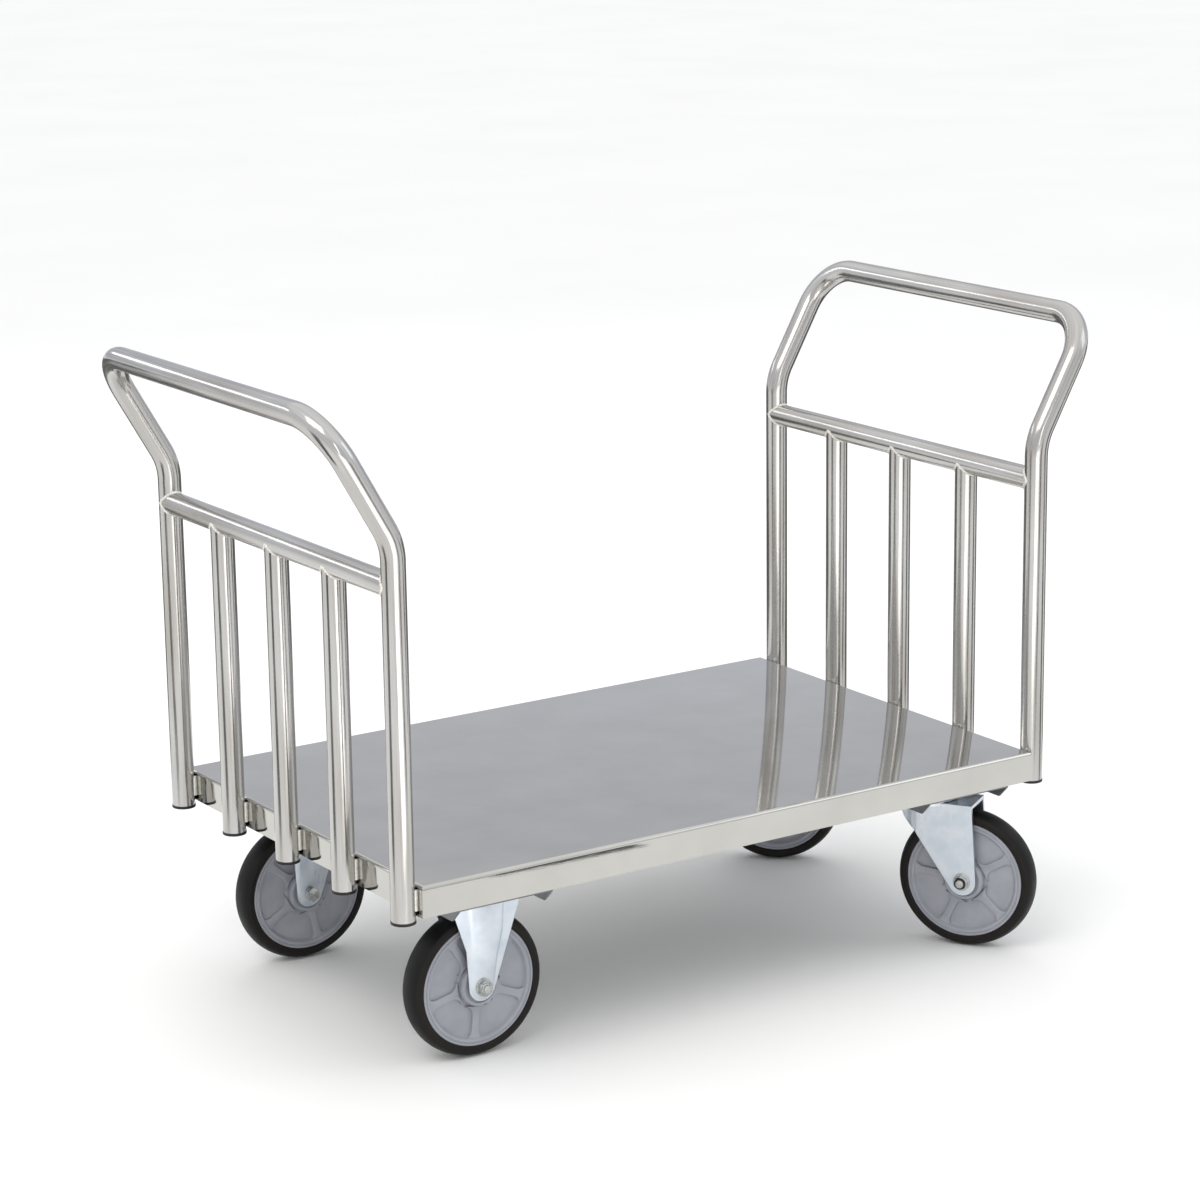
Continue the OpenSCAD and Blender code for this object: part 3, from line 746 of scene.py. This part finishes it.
def makeCards():
    # boards flat on the floor that only show in reflections: they give the bright tubes dark edges
    # and one long white highlight
    c = cardSet
    dark, _, shader = newMaterial("reflection board, grey felt")
    shader.inputs["Base Color"].default_value = colour("#5C5C5B")
    shader.inputs["Roughness"].default_value = 0.9
    bright, _, shader = newMaterial("reflection board, lit from behind")
    shader.inputs["Emission Color"].default_value = colour("#FFFEFB")
    shader.inputs["Emission Strength"].default_value = c["glow"]
    for kind, material in (("dark", dark), ("bright", bright)):
        for i, (first, last) in enumerate(c[kind]):
            bm = bmesh.new()
            rows = []
            for k in range(c["steps"] + 1):
                a = math.radians(first + (last - first) * k / c["steps"])
                rows.append([bm.verts.new((d * math.sin(a), d * math.cos(a), c["height"]))
                             for d in (c["near"], c["far"])])
            for one, two in zip(rows, rows[1:]):
                bm.faces.new((one[0], two[0], two[1], one[1]))
            bmesh.ops.recalc_face_normals(bm, faces=bm.faces[:])
            mesh = bpy.data.meshes.new(f"{kind}Board{i}")
            bm.to_mesh(mesh)
            bm.free()
            mesh.materials.append(material)
            board = bpy.data.objects.new(f"{kind}Board{i}", mesh)
            board.visible_camera = False
            board.visible_diffuse = False
            board.visible_shadow = False
            bpy.context.scene.collection.objects.link(board)


def areaLight(name, place, aim, width, height, power, tint, shown=True):
    light = bpy.data.lights.new(name, "AREA")
    light.shape = "RECTANGLE"
    light.size, light.size_y = width, height
    light.energy = power
    light.color = colour(tint)[:3]
    lamp = bpy.data.objects.new(name, light)
    lamp.location = place
    lamp.rotation_euler = (Vector(aim) - Vector(place)).to_track_quat("-Z", "Y").to_euler()
    lamp.visible_glossy = shown
    lamp.visible_camera = False
    bpy.context.scene.collection.objects.link(lamp)


def makeLight():
    world = bpy.data.worlds.new("studio")
    world.use_nodes = True
    tree = world.node_tree
    place = addNode(tree, "ShaderNodeTexCoord").outputs["Generated"]
    height = addNode(tree, "ShaderNodeSeparateXYZ", links={0: place}).outputs["Z"]
    # low down the room is bluish grey, most of all beyond the cart, which keeps the deck grey
    beyond = addNode(tree, "ShaderNodeVectorMath", {"operation": "DOT_PRODUCT", 1: (0.55, 0.83, 0)},
                     {0: place}).outputs["Value"]
    facing = rangeOf(tree, beyond, 0.5, 1)
    low = rangeOf(tree, height, 1, 0, 0.42, 0.6)
    wall = addNode(tree, "ShaderNodeMath", {"operation": "MULTIPLY"}, {0: facing, 1: low}).outputs[0]
    sky = ramp(tree, wall, [(0.0, colour("#FFFFFF")), (1.0, colour("#C9CCD4"))])
    back = tree.nodes["Background"]
    tree.links.new(sky, back.inputs["Color"])
    back.inputs["Strength"].default_value = 1.08
    bpy.context.scene.world = world
    areaLight("key", (-2.6, -1.2, 3.4), (0, 0, 0.4), 2.4, 1.6, 36, "#FFFDF8")
    areaLight("fill", (3.2, -2.4, 2.6), (0, 0, 0.4), 2.0, 2.0, 10, "#F2F6FF")
    areaLight("back", (1.5, 3.6, 2.8), (0, 0, 0.5), 3.0, 1.2, 20, "#FFFFFF", False)
    areaLight("strip", (-2.4, 4.1, 2.5), (0, 0, 0.8), 2.4, 0.35, 8, "#FFFFFF")
    areaLight("window", (-1.95, -5.67, 2.0), (0, 0, 1.2), 0.5, 2.4, 10, "#FFFFFF")
    bpy.context.scene.view_settings.view_transform = "Standard"


cameraSet = {"sensor": 36, "lens": 103.85, "heading": 33.46, "tilt": 14.13, "roll": -0.81,
             "place": (-2.5966, -3.91, 1.6943)}


def makeCamera():
    c = cameraSet
    data = bpy.data.cameras.new("camera")
    data.sensor_width = c["sensor"]
    data.lens = c["lens"]
    camera = bpy.data.objects.new("camera", data)
    heading, tilt, roll = (math.radians(c[key]) for key in ("heading", "tilt", "roll"))
    turned = (Matrix.Rotation(-heading, 4, "Z") @ Matrix.Rotation(math.pi / 2 - tilt, 4, "X")
              @ Matrix.Rotation(roll, 4, "Z"))
    camera.matrix_world = Matrix.Translation(c["place"]) @ turned
    bpy.context.scene.collection.objects.link(camera)
    bpy.context.scene.camera = camera


makeStage()
makeCards()
makeLight()
makeCamera()
print("stage done")
